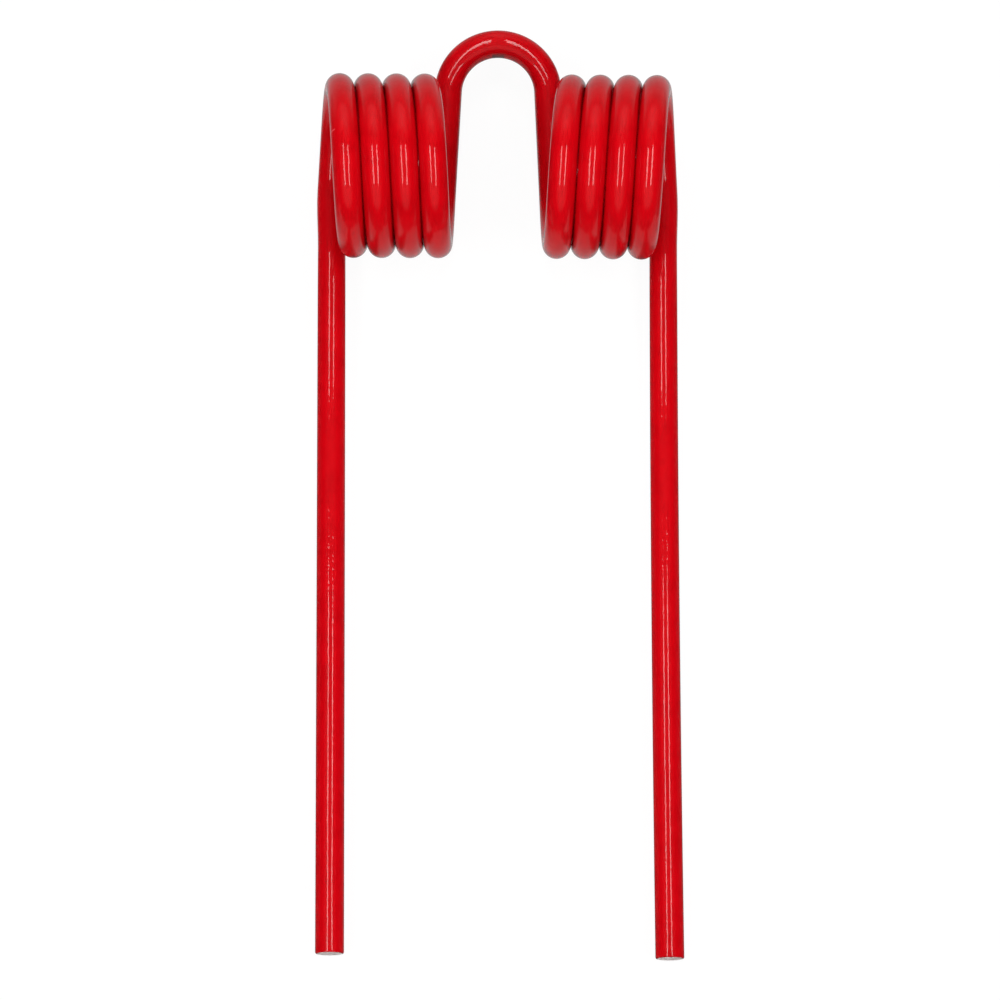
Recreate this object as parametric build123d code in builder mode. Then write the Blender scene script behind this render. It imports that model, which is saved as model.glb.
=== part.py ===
from build123d import *
from math import asin, cos, pi, radians, sin, sqrt
import os

# Double-coil spring tine of a baler pick-up, bent from one round wire, lying on its back.
# Millimetres and degrees. The origin is on the line of the two coils, midway between them.
# +X runs along that line to the right coil, the legs point along -Y, and +Z is up.

# The painted wire
WIRE_DIAMETER = 6.15
END_CHAMFER = 0.35

# The two close-wound coils, mirror images of each other
TURNS = 4
COIL_MEAN_DIAMETER = 34.2
TURN_GAP = 0.05
# Between the wire's centres where the inmost turns end
INMOST_SPACING = 23.55
# Each coil's outer end stands a little higher and nearer to the tips than its inner end
COIL_LEAN = 1.8
COIL_TOE = 0.7
# The turns repeat, so they are drawn with flats of the round wire's area, which keeps them light
COIL_SIDES = 12

# The loop that joins the coils: it leaves them past the lowest point of the turn, so it rises
LOOP_RISE_ANGLE = 12.0
ARM_LENGTH = 19.1

# The legs, from the coils' line to the tips, with their lean away from the middle
LEG_BEND_RADIUS = 250.0
LEFT_LEG_REACH = 170.8
RIGHT_LEG_REACH = 171.5
LEFT_LEG_LEAN = -1.0
RIGHT_LEG_LEAN = -0.1

wire_radius = WIRE_DIAMETER / 2
coil_corner_radius = wire_radius * sqrt(2 * pi / (COIL_SIDES * sin(2 * pi / COIL_SIDES)))
coil_radius = COIL_MEAN_DIAMETER / 2
pitch = WIRE_DIAMETER + TURN_GAP
coil_length = TURNS * pitch

# The right coil's middle, and its frame: the axis runs inwards, and the winding starts underneath
coil_middle = Vector(INMOST_SPACING / 2 + coil_length / 2, 0, 0)
level_inwards = Vector(-cos(radians(COIL_LEAN)), 0, -sin(radians(COIL_LEAN)))
level_underneath = Vector(sin(radians(COIL_LEAN)), 0, -cos(radians(COIL_LEAN)))
inwards = level_inwards.rotate(Axis.Z, -COIL_TOE)
underneath = level_underneath.rotate(Axis.Z, -COIL_TOE)
coil_plane = Plane(
    origin=coil_middle - inwards * (coil_length / 2), x_dir=underneath, z_dir=inwards
)
wound_length = coil_length + pitch * LOOP_RISE_ANGLE / 360
turns_path = coil_plane.location * Helix(
    pitch=pitch, height=wound_length, radius=coil_radius, lefthand=True
)

# Both ends of the right coil
leg_start = turns_path @ 0
leg_start_direction = (turns_path % 0) * -1
arm_start = turns_path @ 1
arm_direction = turns_path % 1
arm_end = arm_start + arm_direction * ARM_LENGTH

# The loop's arc is tangent to both arms, in the plane that they share
arm_slope = asin(-arm_direction.X)
loop_radius = arm_end.X / cos(arm_slope)
up_the_loop = Vector(0, arm_direction.Y, arm_direction.Z).normalized()
loop_top = (
    Vector(0, arm_end.Y, arm_end.Z) + up_the_loop * loop_radius * (1 - sin(arm_slope))
)

# The legs come down until their tips lie as low as the lowest turn
coil_underside = (
    coil_middle.Z
    - coil_radius * cos(radians(COIL_LEAN))
    - coil_length / 2 * sin(radians(COIL_LEAN))
)


def mirrored(point):
    """The same point or direction on the left side."""
    return Vector(-point.X, point.Y, point.Z)


def leg(start, start_direction, reach, lean, side):
    """One leg: a slight bend out of the coil, then straight to a tip at that reach."""
    drop = asin((start.Z - coil_underside) / reach)
    direction = Vector(side * sin(radians(lean)), -cos(radians(lean)), -sin(drop)).normalized()
    bend_axis = start_direction.cross(direction).normalized()
    turn = start_direction.get_angle(direction)
    centre = start + bend_axis.cross(start_direction) * LEG_BEND_RADIUS
    bend_end = centre + (start - centre).rotate(Axis((0, 0, 0), bend_axis), turn)
    length = (-reach - bend_end.Y) / direction.Y
    with BuildPart() as one_leg:
        with BuildSketch(Plane(origin=start, z_dir=start_direction)):
            Circle(wire_radius)
        revolve(axis=Axis(centre, bend_axis), revolution_arc=turn)
        with BuildSketch(Plane(origin=bend_end, z_dir=direction)):
            Circle(wire_radius)
        extrude(amount=length)
        chamfer(one_leg.faces().sort_by(Axis.Y)[0].edges(), length=END_CHAMFER)
    return one_leg.part


right_leg = leg(leg_start, leg_start_direction, RIGHT_LEG_REACH, RIGHT_LEG_LEAN, 1)
left_leg = leg(
    mirrored(leg_start), mirrored(leg_start_direction), LEFT_LEG_REACH, LEFT_LEG_LEAN, -1
)

with BuildPart() as tine:
    # The right coil and arm, then the same on the left
    with BuildSketch(Plane(origin=arm_start, z_dir=arm_direction)):
        Circle(wire_radius)
    extrude(amount=ARM_LENGTH)
    with BuildLine():
        add(turns_path)
    # A flat of each turn faces the next turn
    with BuildSketch(Plane(origin=leg_start, x_dir=underneath, z_dir=leg_start_direction * -1)):
        RegularPolygon(coil_corner_radius, COIL_SIDES, rotation=180 / COIL_SIDES)
    sweep(is_frenet=True)
    mirror(about=Plane.YZ)
    # The loop across the middle
    with BuildLine():
        ThreePointArc(arm_end, loop_top, mirrored(arm_end))
    with BuildSketch(Plane(origin=arm_end, z_dir=arm_direction)):
        Circle(wire_radius)
    sweep()
    # The legs, cut off square with the edge broken
    add(right_leg)
    add(left_leg)

tine.part.label = "tine"
os.makedirs("parts", exist_ok=True)
export_step(tine.part, "parts/tine.step")
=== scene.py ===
from math import asin, cos, pi, radians, sin

import bpy
from mathutils import Matrix, Quaternion, Vector


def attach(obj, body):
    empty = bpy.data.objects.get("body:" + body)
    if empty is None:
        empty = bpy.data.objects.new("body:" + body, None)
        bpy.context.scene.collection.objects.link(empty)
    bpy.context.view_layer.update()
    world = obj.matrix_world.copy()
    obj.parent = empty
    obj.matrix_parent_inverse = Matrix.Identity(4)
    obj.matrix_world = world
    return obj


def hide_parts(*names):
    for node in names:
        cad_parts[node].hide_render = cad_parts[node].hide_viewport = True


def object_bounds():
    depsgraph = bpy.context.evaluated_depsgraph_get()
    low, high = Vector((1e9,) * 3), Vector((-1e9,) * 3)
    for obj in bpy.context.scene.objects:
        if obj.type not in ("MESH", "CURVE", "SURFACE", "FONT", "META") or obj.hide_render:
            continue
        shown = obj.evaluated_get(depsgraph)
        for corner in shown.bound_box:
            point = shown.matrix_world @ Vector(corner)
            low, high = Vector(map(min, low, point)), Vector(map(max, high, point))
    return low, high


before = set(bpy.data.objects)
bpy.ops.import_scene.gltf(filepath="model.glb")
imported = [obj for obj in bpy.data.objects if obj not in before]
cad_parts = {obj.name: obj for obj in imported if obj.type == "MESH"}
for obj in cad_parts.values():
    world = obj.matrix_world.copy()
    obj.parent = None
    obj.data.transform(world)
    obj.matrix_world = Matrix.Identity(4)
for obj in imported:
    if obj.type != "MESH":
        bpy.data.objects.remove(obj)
cad_low, cad_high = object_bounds()

# The wire's own sizes in millimetres and degrees, the same as in the CAD source
MM = 0.001
WIRE_RADIUS = 3.075
END_ROUNDING = 0.35
TURNS = 4
COIL_RADIUS = 17.1
PITCH = 6.2
INMOST_SPACING = 23.55
COIL_LEAN = radians(1.8)
COIL_TOE = radians(0.7)
LOOP_RISE_ANGLE = 12.0
WOUND_ANGLE = 360 * TURNS + LOOP_RISE_ANGLE
ARM_LENGTH = 19.1
LEG_BEND_RADIUS = 250.0
LEFT_LEG_REACH = 170.8
RIGHT_LEG_REACH = 171.5
LEFT_LEG_LEAN = radians(-1.0)
RIGHT_LEG_LEAN = radians(-0.1)

# The legs' slight bows in the photograph: how far they lie inwards of the line above, near
# their coil, halfway and at their tip, and the length in which they leave the line
LEFT_LEG_INWARDS = (0.64, 0.18, -0.29)
RIGHT_LEG_INWARDS = (0.42, 0.29, -0.40)
LEG_SETTLES = 14.0

# How finely the wire is drawn
RING_POINTS = 48
COIL_STEP = 2.0
LOOP_STEP = 2.5
LEG_RINGS = 40
BEND_RINGS = 6
ARM_RINGS = 8
ROUNDING_RINGS = 4
FLAT_RING_SHARES = (0.84, 0.5, 0.2)

# The camera: how it is turned, and its place in millimetres along its own right, down and back
CAMERA_TILT = radians(14.4)
CAMERA_YAW = radians(0.219)
CAMERA_ROLL = radians(0.328)
CAMERA_ASIDE = 0.475
CAMERA_BELOW = 73.08
CAMERA_DISTANCE = 870.0
FOCAL_PIXELS = 3970.0
IMAGE_PIXELS = 1000
SENSOR_WIDTH = 36.0

# Two upright strip lights beside the camera, for the gloss alone, in millimetres along the
# camera's own axes
STRIP_ASIDE = 234.0
STRIP_LOW = -376.0
STRIP_HIGH = 273.0
STRIP_AWAY = 700.0
STRIP_WIDTH = 90.0
STRIP_RADIANCE = 10.4

# Soft boxes for the colours, which the gloss doesn't show: their place along the camera's own
# right, up and back, their width and height, all in millimetres, and their radiance
SIDE_BOX = (345.0, -70.0, 440.0, 160.0, 540.0, 9.0)
FRONT_BOX = (0.0, -40.0, 480.0, 90.0, 460.0, 6.2)
UPPER_BOX = (0.0, 260.0, 250.0, 200.0, 200.0, 6.0)

# The room: an even fill for the colours, and what the gloss mirrors instead. Heights go from 1
# behind the camera to -1 behind the tine. Each side is dark above its first height and pale
# below its second, and a soft glow lies between the four heights of its band
FILL = 0.08
DARK = 0.005
PALE = 0.45
FAR_SIDE = (0.6, -0.5)
NEAR_SIDE = (-0.05, -0.15)
LEFT_AND_RIGHT = (-0.55, -0.75)
SIDES_MEET = (0.35, 0.75)
GLOW = 0.5
GLOW_HALF_WIDTH = (0.15, 0.85)
GLOW_FAR = (0.78, 0.6, 0.3, 0.1)
GLOW_NEAR = (0.93, 0.8, 0.6, 0.4)

# The floor, and the dark strips of it beside the legs that only the gloss mirrors, a painted shadow,
# in metres
FLOOR_SIZE = 4.0
FLOOR_COLOUR = 0.86
FLOOR_GLOW = 0.94
LEGS_APART = 0.0365
PAINTED_SHADOW_REACH = (0.006, 0.011)
PAINTED_SHADOW_END = (-0.010, -0.025)
PAINTED_SHADOW_COLOUR = 0.05

# Slopes along Y of the lacquer's shading alone, which place the highlights as in the photograph,
# and where along Y they lie, in metres: on the legs near the coils, on the loop's arms and on its
# top, where the shading also slopes outwards on both sides of the middle
LEG_SLOPE = -0.12
LEG_SLOPE_FROM = (-0.013, -0.017)
LEG_SLOPE_TO = (-0.030, -0.062)
LEG_INSIDE = (0.030, 0.032)
ARM_SLOPE = 0.12
ARM_FROM = (0.002, 0.005)
TOP_SLOPE = -0.14
TOP_SPREAD = 0.13
TOP_SPREAD_FROM = 0.0025
TOP_FROM = (0.022, 0.028)
LOOP_THICKNESS = (0.0035, 0.0045)
LOOP_HALF_WIDTH = (0.0150, 0.0170)

# Lacquer and steel
RED = (0.41, 0.0005, 0.0032, 1.0)
DEEP_RED = (0.37, 0.0003, 0.0026, 1.0)
CLOUDS = (0.3, 0.55)
CLOUD_SCALE = 260.0
CLOUD_DETAIL = 3.0
LACQUER_ROUGHNESS = 0.33
LACQUER_SPECULAR = 0.03
COAT_ROUGHNESS = 0.04
COAT_IOR = 1.35
PEEL_SCALE = 900.0
PEEL_DETAIL = 1.5
PEEL_DEPTH = 0.00003
STEEL = (0.80, 0.70, 0.68, 1.0)
STEEL_METALLIC = 0.3
STEEL_ROUGHNESS = 0.5
SAW_MARK_SCALE = (300.0, 300.0, 4000.0)
SAW_MARK_STRENGTH = 0.4
SAW_MARK_DEPTH = 0.00002
SAW_MARK_DETAIL = 3.0

# The mark that the paint shop's hook left inside the loop's top, in metres
HOOK_MARK = (0.10, 0.022, 0.022, 1.0)
HOOK_MARK_HALF_WIDTH = (0.0013, 0.0021)
HOOK_MARK_EDGE = (0.0296, 0.0301)
HOOK_MARK_RAGGEDNESS = 0.0006

# The nick in the lacquer on the left coil's outer turn: its two ends, and how far it spreads
NICK = (0.55, 0.055, 0.065, 1.0)
NICK_ENDS = ((-0.03592, 0.00105, 0.01836), (-0.03500, 0.00142, 0.01966))
NICK_SPREAD = (0.00002, 0.00006)


def coil_point(turned):
    """A point of the right coil's centreline, that many degrees of winding from its leg."""
    length = TURNS * PITCH
    inwards = Vector((-cos(COIL_LEAN), 0, -sin(COIL_LEAN)))
    underneath = Vector((sin(COIL_LEAN), 0, -cos(COIL_LEAN)))
    middle = Vector((INMOST_SPACING / 2 + length / 2, 0, 0))
    angle = radians(turned)
    from_middle = (
        inwards * (PITCH * turned / 360 - length / 2)
        + underneath * COIL_RADIUS * cos(angle)
        + Vector((0, 1, 0)) * COIL_RADIUS * sin(angle)
    )
    return middle + Matrix.Rotation(-COIL_TOE, 3, "Z") @ from_middle


def coil_direction(turned):
    """The direction of winding there."""
    small = 0.01
    return (coil_point(turned + small) - coil_point(turned - small)).normalized()


def shares(count):
    """Evenly spaced shares up to 1, without the 0."""
    return [i / count for i in range(1, count + 1)]


def leg_points(reach, lean):
    """A leg's centreline from its tip to the coil, as it is on the right side."""
    start = coil_point(0)
    start_direction = coil_direction(0) * -1
    lowest = -COIL_RADIUS * cos(COIL_LEAN) - TURNS * PITCH / 2 * sin(COIL_LEAN)
    drop = asin((start.z - lowest) / reach)
    direction = Vector((sin(lean), -cos(lean), -sin(drop))).normalized()
    bend_axis = start_direction.cross(direction).normalized()
    turn = start_direction.angle(direction)
    centre = start + bend_axis.cross(start_direction) * LEG_BEND_RADIUS
    points = [start]
    for share in shares(BEND_RINGS):
        points.append(centre + Quaternion(bend_axis, turn * share) @ (start - centre))
    bend_end = points[-1]
    length = (-reach - bend_end.y) / direction.y
    points += [bend_end + direction * length * share for share in shares(LEG_RINGS)]
    return points[::-1]


def bow(point, reach, inwards):
    """A leg's point moved inwards by a parabola through those three values."""
    at_coil, halfway, at_tip = inwards
    share = max(-point.y / reach, 0)
    settled = min(share * reach / LEG_SETTLES, 1)
    moved = (
        at_coil * (1 - share) * (1 - 2 * share)
        + halfway * 4 * share * (1 - share)
        + at_tip * share * (2 * share - 1)
    )
    return Vector((point.x - moved * settled**2 * (3 - 2 * settled), point.y, point.z))


def half_points(reach, lean, inwards):
    """One half of the wire as it is on the right side, from its tip to the end of its arm."""
    points = [bow(point, reach, inwards) for point in leg_points(reach, lean)]
    points += [coil_point(WOUND_ANGLE * share) for share in shares(round(WOUND_ANGLE / COIL_STEP))]
    arm_start = points[-1]
    arm = coil_direction(WOUND_ANGLE) * ARM_LENGTH
    return points + [arm_start + arm * share for share in shares(ARM_RINGS)]


def up_the_loop():
    """The direction of both arms in the tine's plane of symmetry."""
    arm_direction = coil_direction(WOUND_ANGLE)
    return Vector((0, arm_direction.y, arm_direction.z)).normalized()


def loop_points(arm_end):
    """The loop's arc from the right arm's end over to the left one's, without those ends."""
    slope = asin(-coil_direction(WOUND_ANGLE).x)
    radius = arm_end.x / cos(slope)
    up = up_the_loop()
    centre = Vector((0, arm_end.y, arm_end.z)) - up * radius * sin(slope)
    sweep = pi - 2 * slope
    count = round(sweep / radians(LOOP_STEP))
    angles = [slope + sweep * share for share in shares(count)[:-1]]
    return [centre + Vector((cos(a), 0, 0)) * radius + up * radius * sin(a) for a in angles]


def wire_points():
    """The whole wire's centreline, from the right tip to the left tip."""
    right = half_points(RIGHT_LEG_REACH, RIGHT_LEG_LEAN, RIGHT_LEG_INWARDS)
    left = half_points(LEFT_LEG_REACH, LEFT_LEG_LEAN, LEFT_LEG_INWARDS)
    return right + loop_points(right[-1]) + [Vector((-p.x, p.y, p.z)) for p in left[::-1]]


def frames(points):
    """Each point with the wire's direction there and a side direction that doesn't twist."""
    made = []
    side = None
    last = None
    for i, point in enumerate(points):
        before = points[max(i - 1, 0)]
        after = points[min(i + 1, len(points) - 1)]
        direction = (after - before).normalized()
        if side is None:
            side = direction.orthogonal().normalized()
        else:
            side = last.rotation_difference(direction) @ side
            side = (side - direction * side.dot(direction)).normalized()
        last = direction
        made.append((point, direction, side))
    return made


def tip_rings(tip, outwards):
    """Centres and radii of the rings round a cut end, from the full wire to the flat's middle."""
    rings = []
    for i in range(ROUNDING_RINGS + 1):
        angle = pi / 2 * i / ROUNDING_RINGS
        centre = tip - outwards * END_ROUNDING * (1 - sin(angle))
        rings.append((centre, WIRE_RADIUS - END_ROUNDING * (1 - cos(angle))))
    return rings + [(tip, WIRE_RADIUS * share) for share in FLAT_RING_SHARES]


def wire_rings(path):
    """Each ring's centre, radius, direction and side, from one cut end to the other."""
    first, last = path[0], path[-1]
    start = tip_rings(first[0], -first[1])
    end = tip_rings(last[0], last[1])
    rings = [(centre, radius, first[1], first[2]) for centre, radius in start[::-1]]
    rings += [(point, WIRE_RADIUS, direction, side) for point, direction, side in path[1:-1]]
    return rings + [(centre, radius, last[1], last[2]) for centre, radius in end]


def build_wire():
    """The wire's mesh: the lacquered wire has material 0 and its two cut flats have 1."""
    path = frames(wire_points())
    rings = wire_rings(path)
    vertices = []
    for centre, radius, direction, side in rings:
        other = direction.cross(side)
        for i in range(RING_POINTS):
            angle = 2 * pi * i / RING_POINTS
            vertices.append((centre + (side * cos(angle) + other * sin(angle)) * radius) * MM)
    faces = []
    materials = []
    flats = len(FLAT_RING_SHARES)
    for ring in range(len(rings) - 1):
        low = ring * RING_POINTS
        high = low + RING_POINTS
        bare = ring < flats or ring >= len(rings) - 1 - flats
        for i in range(RING_POINTS):
            j = (i + 1) % RING_POINTS
            faces.append((low + i, low + j, high + j, high + i))
            materials.append(1 if bare else 0)
    vertices += [path[0][0] * MM, path[-1][0] * MM]
    start_middle = len(vertices) - 2
    end_middle = len(vertices) - 1
    last_ring = (len(rings) - 1) * RING_POINTS
    for i in range(RING_POINTS):
        j = (i + 1) % RING_POINTS
        faces.append((start_middle, j, i))
        faces.append((end_middle, last_ring + i, last_ring + j))
        materials += [1, 1]
    mesh = bpy.data.meshes.new("lacquered_wire")
    mesh.from_pydata(vertices, [], faces)
    mesh.polygons.foreach_set("material_index", materials)
    mesh.polygons.foreach_set("use_smooth", [True] * len(faces))
    mesh.update()
    return mesh


def connect(tree, socket, value):
    """Links the socket where the value is a socket too, and otherwise sets it."""
    if isinstance(value, bpy.types.NodeSocket):
        tree.links.new(value, socket)
    else:
        socket.default_value = value


def node(tree, kind, **inputs):
    """A new shader node with those inputs set or linked."""
    made = tree.nodes.new(kind)
    for name, value in inputs.items():
        connect(tree, made.inputs[name.replace("_", " ")], value)
    return made


def new_material(name):
    """An empty node material, with its tree and its output node."""
    material = bpy.data.materials.new(name)
    material.use_nodes = True
    tree = material.node_tree
    tree.nodes.clear()
    return material, tree, tree.nodes.new("ShaderNodeOutputMaterial")


def smooth_step(tree, value, ends, low=0.0, high=1.0):
    """A smooth change from low to high as the value goes from the first end to the second."""
    step = node(
        tree,
        "ShaderNodeMapRange",
        Value=value,
        From_Min=ends[0],
        From_Max=ends[1],
        To_Min=low,
        To_Max=high,
    )
    step.interpolation_type = "SMOOTHSTEP"
    return step.outputs["Result"]


def blend(tree, factor, first, second, kind="FLOAT"):
    """The first number, or RGBA colour, where the factor is 0 and the second where it is 1."""
    mix = tree.nodes.new("ShaderNodeMix")
    mix.data_type = kind
    for name, value in (("Factor", factor), ("A", first), ("B", second)):
        connect(tree, mix.inputs[name], value)
    return mix.outputs["Result"]


def calculate(tree, operation, first, second=0.0):
    """The result of a Math node."""
    made = tree.nodes.new("ShaderNodeMath")
    made.operation = operation
    for socket, value in zip(made.inputs, (first, second)):
        connect(tree, socket, value)
    return made.outputs["Value"]


def band(tree, value, ends):
    """1 between the two middle ends and 0 outside the outer two, from high to low."""
    below_top = smooth_step(tree, value, ends[1::-1], 1.0, 0.0)
    above_bottom = smooth_step(tree, value, ends[:1:-1])
    return calculate(tree, "MULTIPLY", below_top, above_bottom)


def mix_shaders(tree, factor, first, second):
    """The first shader where the factor is 0 and the second where it is 1."""
    mixed = tree.nodes.new("ShaderNodeMixShader")
    for socket, value in zip(mixed.inputs, (factor, first, second)):
        connect(tree, socket, value)
    return mixed.outputs["Shader"]


def vector_math(tree, operation, first, second=(0.0, 0.0, 0.0)):
    """A Vector Math node on those sockets or vectors."""
    made = tree.nodes.new("ShaderNodeVectorMath")
    made.operation = operation
    for socket, value in zip(made.inputs, (first, second)):
        connect(tree, socket, value)
    return made


def loop_share(tree, place):
    """1 on the loop and its arms between the coils, and 0 elsewhere."""
    up = up_the_loop()
    off_the_loop = Vector((0, -up.z, up.y))
    loop_height = off_the_loop.dot(coil_point(WOUND_ANGLE)) * MM
    height = vector_math(tree, "DOT_PRODUCT", place, off_the_loop).outputs["Value"]
    off_plane = calculate(tree, "ABSOLUTE", calculate(tree, "SUBTRACT", height, loop_height))
    in_plane = smooth_step(tree, off_plane, LOOP_THICKNESS, 1.0, 0.0)
    parts = node(tree, "ShaderNodeSeparateXYZ", Vector=place)
    aside = calculate(tree, "ABSOLUTE", parts.outputs["X"])
    between_coils = smooth_step(tree, aside, LOOP_HALF_WIDTH, 1.0, 0.0)
    return calculate(tree, "MULTIPLY", in_plane, between_coils)


def sloping_normal(tree, place):
    """The face's normal, tilted by the shading's slopes on the legs and the loop."""
    parts = node(tree, "ShaderNodeSeparateXYZ", Vector=place)
    along = parts.outputs["Y"]
    aside = calculate(tree, "ABSOLUTE", parts.outputs["X"])
    on_leg = smooth_step(tree, aside, LEG_INSIDE, 0.0, LEG_SLOPE)
    past_coil = smooth_step(tree, along, LEG_SLOPE_FROM[::-1], 1.0, 0.0)
    leg_share = calculate(tree, "MULTIPLY", past_coil, smooth_step(tree, along, LEG_SLOPE_TO[::-1]))
    leg_slope = calculate(tree, "MULTIPLY", on_leg, leg_share)
    on_loop = loop_share(tree, place)
    on_arm = smooth_step(tree, along, ARM_FROM, 0.0, ARM_SLOPE)
    on_top = smooth_step(tree, along, TOP_FROM)
    arm_or_top = blend(tree, on_top, on_arm, TOP_SLOPE)
    loop_slope = calculate(tree, "MULTIPLY", on_loop, arm_or_top)
    half_way = smooth_step(
        tree, parts.outputs["X"], (-TOP_SPREAD_FROM, TOP_SPREAD_FROM), -TOP_SPREAD, TOP_SPREAD
    )
    spread = calculate(tree, "MULTIPLY", half_way, calculate(tree, "MULTIPLY", on_loop, on_top))
    slope = node(
        tree, "ShaderNodeCombineXYZ", X=spread, Y=calculate(tree, "ADD", leg_slope, loop_slope)
    )
    face = tree.nodes.new("ShaderNodeNewGeometry").outputs["Normal"]
    tilted = vector_math(tree, "ADD", face, slope.outputs["Vector"]).outputs["Vector"]
    return vector_math(tree, "NORMALIZE", tilted).outputs["Vector"]


def nick_share(tree, place):
    """1 on the nick, which is where the ways to both of its ends add up to the least."""
    first, second = NICK_ENDS
    to_first = vector_math(tree, "DISTANCE", place, first).outputs["Value"]
    to_second = vector_math(tree, "DISTANCE", place, second).outputs["Value"]
    length = (Vector(second) - Vector(first)).length
    ends = [length + spread for spread in NICK_SPREAD]
    return smooth_step(tree, calculate(tree, "ADD", to_first, to_second), ends, 1.0, 0.0)


def hook_mark_share(tree, place, cloud):
    """1 on the mark inside the loop's top, whose sides the cloud makes ragged."""
    parts = node(tree, "ShaderNodeSeparateXYZ", Vector=place)
    ragged = calculate(tree, "MULTIPLY", cloud, HOOK_MARK_RAGGEDNESS)
    aside = calculate(tree, "ADD", calculate(tree, "ABSOLUTE", parts.outputs["X"]), ragged)
    mark_width = smooth_step(tree, aside, HOOK_MARK_HALF_WIDTH, 1.0, 0.0)
    inside = smooth_step(tree, parts.outputs["Y"], HOOK_MARK_EDGE, 1.0, 0.0)
    past_arms = smooth_step(tree, parts.outputs["Y"], TOP_FROM)
    return calculate(tree, "MULTIPLY", mark_width, calculate(tree, "MULTIPLY", inside, past_arms))


def lacquer_material():
    """Glossy red lacquer with a little orange peel, the hook's mark and the nick."""
    material, tree, output = new_material("red_lacquer")
    place = tree.nodes.new("ShaderNodeTexCoord").outputs["Object"]
    noise = node(tree, "ShaderNodeTexNoise", Vector=place, Scale=CLOUD_SCALE, Detail=CLOUD_DETAIL)
    cloud = noise.outputs["Fac"]
    colour = blend(tree, smooth_step(tree, cloud, CLOUDS), DEEP_RED, RED, "RGBA")
    colour = blend(tree, hook_mark_share(tree, place, cloud), colour, HOOK_MARK, "RGBA")
    colour = blend(tree, nick_share(tree, place), colour, NICK, "RGBA")
    peel = node(tree, "ShaderNodeTexNoise", Vector=place, Scale=PEEL_SCALE, Detail=PEEL_DETAIL)
    bump = node(
        tree,
        "ShaderNodeBump",
        Strength=1.0,
        Distance=PEEL_DEPTH,
        Height=peel.outputs["Fac"],
        Normal=sloping_normal(tree, place),
    )
    shader = node(
        tree,
        "ShaderNodeBsdfPrincipled",
        Base_Color=colour,
        Roughness=LACQUER_ROUGHNESS,
        Specular_IOR_Level=LACQUER_SPECULAR,
        Normal=bump.outputs["Normal"],
        Coat_Weight=1.0,
        Coat_Roughness=COAT_ROUGHNESS,
        Coat_IOR=COAT_IOR,
        Coat_Normal=bump.outputs["Normal"],
    )
    tree.links.new(shader.outputs["BSDF"], output.inputs["Surface"])
    return material


def steel_material():
    """Bare steel of the cut ends, with saw marks."""
    material, tree, output = new_material("cut_steel")
    place = tree.nodes.new("ShaderNodeTexCoord").outputs["Object"]
    stretch = node(tree, "ShaderNodeMapping", Vector=place, Scale=SAW_MARK_SCALE)
    stretched = stretch.outputs["Vector"]
    marks = node(tree, "ShaderNodeTexNoise", Vector=stretched, Scale=1.0, Detail=SAW_MARK_DETAIL)
    bump = node(
        tree,
        "ShaderNodeBump",
        Strength=SAW_MARK_STRENGTH,
        Distance=SAW_MARK_DEPTH,
        Height=marks.outputs["Fac"],
    )
    shader = node(
        tree,
        "ShaderNodeBsdfPrincipled",
        Base_Color=STEEL,
        Metallic=STEEL_METALLIC,
        Roughness=STEEL_ROUGHNESS,
        Normal=bump.outputs["Normal"],
    )
    tree.links.new(shader.outputs["BSDF"], output.inputs["Surface"])
    return material


def camera_basis():
    """The directions to the camera's right, up and back, as a matrix's columns."""
    tilt = Matrix.Rotation(CAMERA_TILT, 3, "X")
    yaw = Matrix.Rotation(-CAMERA_YAW, 3, "Y")
    roll = Matrix.Rotation(CAMERA_ROLL, 3, "Z")
    return tilt @ yaw @ roll


def make_camera():
    """The camera at the photograph's viewing angle."""
    basis = camera_basis()
    data = bpy.data.cameras.new("camera")
    data.sensor_width = SENSOR_WIDTH
    data.lens = FOCAL_PIXELS * SENSOR_WIDTH / IMAGE_PIXELS
    camera = bpy.data.objects.new("camera", data)
    place = basis @ Vector((CAMERA_ASIDE, -CAMERA_BELOW, CAMERA_DISTANCE)) * MM
    camera.matrix_world = Matrix.Translation(place) @ basis.to_4x4()
    bpy.context.scene.collection.objects.link(camera)
    bpy.context.scene.camera = camera


def area_light(name, place, facing, width, height, radiance):
    """A rectangular lamp at that place, its face turned back along the facing direction."""
    basis = camera_basis()
    back = facing.normalized()
    right = Vector((0, 1, 0)).cross(back).normalized()
    turned = Matrix((right, back.cross(right), back)).transposed()
    data = bpy.data.lights.new(name, "AREA")
    data.shape = "RECTANGLE"
    data.size = width * MM
    data.size_y = height * MM
    data.energy = radiance * pi * data.size * data.size_y
    light = bpy.data.objects.new(name, data)
    light.matrix_world = Matrix.Translation(basis @ place * MM) @ (basis @ turned).to_4x4()
    bpy.context.scene.collection.objects.link(light)
    return light


def soft_box(name, side, box):
    """A soft box turned to the coils on that side, for the diffuse light alone."""
    aside, raised, away, width, height, radiance = box
    place = Vector((side * aside, raised, away))
    area_light(name, place, place, width, height, radiance).visible_glossy = False


def strip_light(name, side):
    """One upright strip light beside the camera, for the gloss alone."""
    place = Vector((side * STRIP_ASIDE, (STRIP_LOW + STRIP_HIGH) / 2, STRIP_AWAY))
    facing = Vector((place.x, 0, place.z))
    height = STRIP_HIGH - STRIP_LOW
    strip = area_light(name, place, facing, STRIP_WIDTH, height, STRIP_RADIANCE)
    strip.visible_diffuse = False


def grey(level):
    """A grey colour of that level."""
    return (level, level, level, 1.0)


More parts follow.
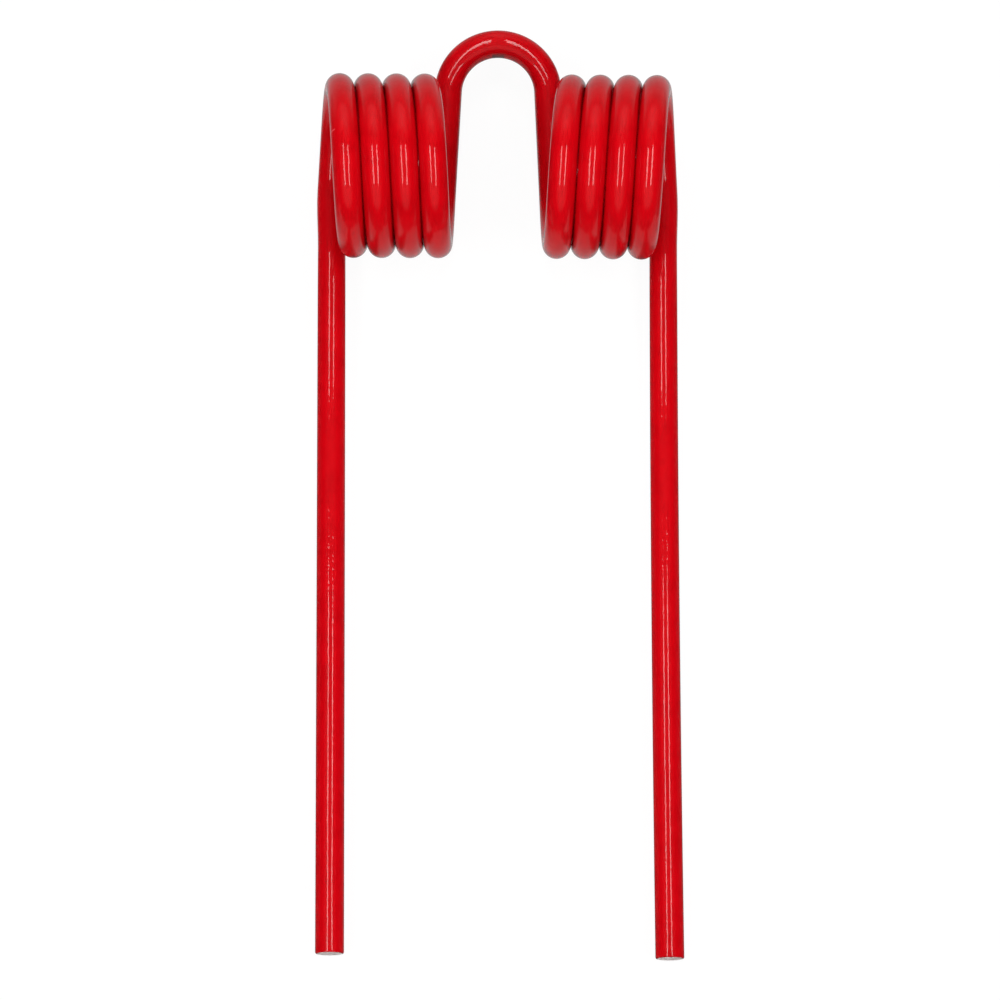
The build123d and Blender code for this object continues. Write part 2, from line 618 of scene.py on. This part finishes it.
def make_floor():
    """A plain pale floor right under the tine, which the gloss sees only close to the legs, where a
    dark painted shadow lies.
    """
    material, tree, output = new_material("floor")
    plain = node(tree, "ShaderNodeBsdfDiffuse", Color=grey(FLOOR_COLOUR))
    white = node(tree, "ShaderNodeEmission", Color=grey(1.0), Strength=1.0)
    # The painted shadow beside the legs: a dark diffuse colour that only the gloss sees
    painted_shadow = node(tree, "ShaderNodeBsdfDiffuse", Color=grey(PAINTED_SHADOW_COLOUR))
    clear = node(tree, "ShaderNodeBsdfTransparent", Color=grey(1.0))
    path = tree.nodes.new("ShaderNodeLightPath")
    place = tree.nodes.new("ShaderNodeTexCoord").outputs["Object"]
    parts = node(tree, "ShaderNodeSeparateXYZ", Vector=place)
    aside = calculate(tree, "ABSOLUTE", parts.outputs["X"])
    # Where the painted shadow lies: strips beside both legs, from near the coils outwards
    apart = calculate(tree, "ABSOLUTE", calculate(tree, "SUBTRACT", aside, LEGS_APART))
    beside = smooth_step(tree, apart, PAINTED_SHADOW_REACH, 1.0, 0.0)
    along = smooth_step(tree, parts.outputs["Y"], PAINTED_SHADOW_END[::-1], 1.0, 0.0)
    in_painted_shadow = calculate(tree, "MULTIPLY", beside, along)
    glow = calculate(tree, "MULTIPLY", path.outputs["Is Camera Ray"], FLOOR_GLOW)
    seen = mix_shaders(tree, glow, plain.outputs["BSDF"], white.outputs["Emission"])
    mirrored = mix_shaders(tree, in_painted_shadow, clear.outputs["BSDF"], painted_shadow.outputs["BSDF"])
    whole = mix_shaders(tree, path.outputs["Is Glossy Ray"], seen, mirrored)
    tree.links.new(whole, output.inputs["Surface"])
    half = FLOOR_SIZE / 2
    corners = [(-half, -half), (half, -half), (half, half), (-half, half)]
    mesh = bpy.data.meshes.new("floor")
    mesh.from_pydata([(x, y, cad_low.z) for x, y in corners], [], [(0, 1, 2, 3)])
    mesh.materials.append(material)
    floor = bpy.data.objects.new("floor", mesh)
    bpy.context.scene.collection.objects.link(floor)


def make_room():
    """The world: white for the camera, an even fill for the colours, pale sides for the gloss."""
    world = bpy.data.worlds.new("room")
    bpy.context.scene.world = world
    world.use_nodes = True
    tree = world.node_tree
    tree.nodes.clear()
    output = tree.nodes.new("ShaderNodeOutputWorld")
    way = tree.nodes.new("ShaderNodeTexCoord").outputs["Generated"]
    turned = node(tree, "ShaderNodeMapping", Vector=way, Rotation=(-CAMERA_TILT, 0.0, 0.0))
    parts = node(tree, "ShaderNodeSeparateXYZ", Vector=turned.outputs["Vector"])
    height = parts.outputs["Z"]
    flat = node(tree, "ShaderNodeCombineXYZ", X=parts.outputs["X"], Y=parts.outputs["Y"])
    round_about = vector_math(tree, "NORMALIZE", flat.outputs["Vector"]).outputs["Vector"]
    bearing = node(tree, "ShaderNodeSeparateXYZ", Vector=round_about)
    forwards = smooth_step(tree, bearing.outputs["Y"], SIDES_MEET)
    backwards = smooth_step(tree, calculate(tree, "MULTIPLY", bearing.outputs["Y"], -1.0), SIDES_MEET)
    far_side = smooth_step(tree, height, FAR_SIDE[::-1], PALE, DARK)
    near_side = smooth_step(tree, height, NEAR_SIDE[::-1], PALE, DARK)
    beside = smooth_step(tree, height, LEFT_AND_RIGHT[::-1], PALE, DARK)
    pale = blend(tree, backwards, blend(tree, forwards, beside, far_side), near_side)
    glow_far = calculate(tree, "MULTIPLY", band(tree, height, GLOW_FAR), forwards)
    glow_near = calculate(tree, "MULTIPLY", band(tree, height, GLOW_NEAR), backwards)
    sideways = calculate(tree, "ABSOLUTE", parts.outputs["X"])
    middle = smooth_step(tree, sideways, GLOW_HALF_WIDTH, GLOW, 0.0)
    glow = calculate(tree, "MULTIPLY", calculate(tree, "ADD", glow_far, glow_near), middle)
    mirrored = calculate(tree, "ADD", pale, glow)
    path = tree.nodes.new("ShaderNodeLightPath")
    lit = blend(tree, path.outputs["Is Glossy Ray"], FILL, mirrored)
    strength = blend(tree, path.outputs["Is Camera Ray"], lit, 1.0)
    light = node(tree, "ShaderNodeBackground", Color=grey(1.0), Strength=strength)
    tree.links.new(light.outputs["Background"], output.inputs["Surface"])


make_camera()
make_room()
make_floor()
strip_light("strip_left", -1)
strip_light("strip_right", 1)
soft_box("box_left", -1, SIDE_BOX)
soft_box("box_right", 1, SIDE_BOX)
soft_box("box_in_front", 1, FRONT_BOX)
soft_box("box_above", 1, UPPER_BOX)

wire_mesh = build_wire()
wire_mesh.materials.append(lacquer_material())
wire_mesh.materials.append(steel_material())
wire = bpy.data.objects.new("lacquered_wire", wire_mesh)
bpy.context.scene.collection.objects.link(wire)
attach(wire, "root")
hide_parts("tine")

bpy.context.scene.view_settings.view_transform = "Standard"
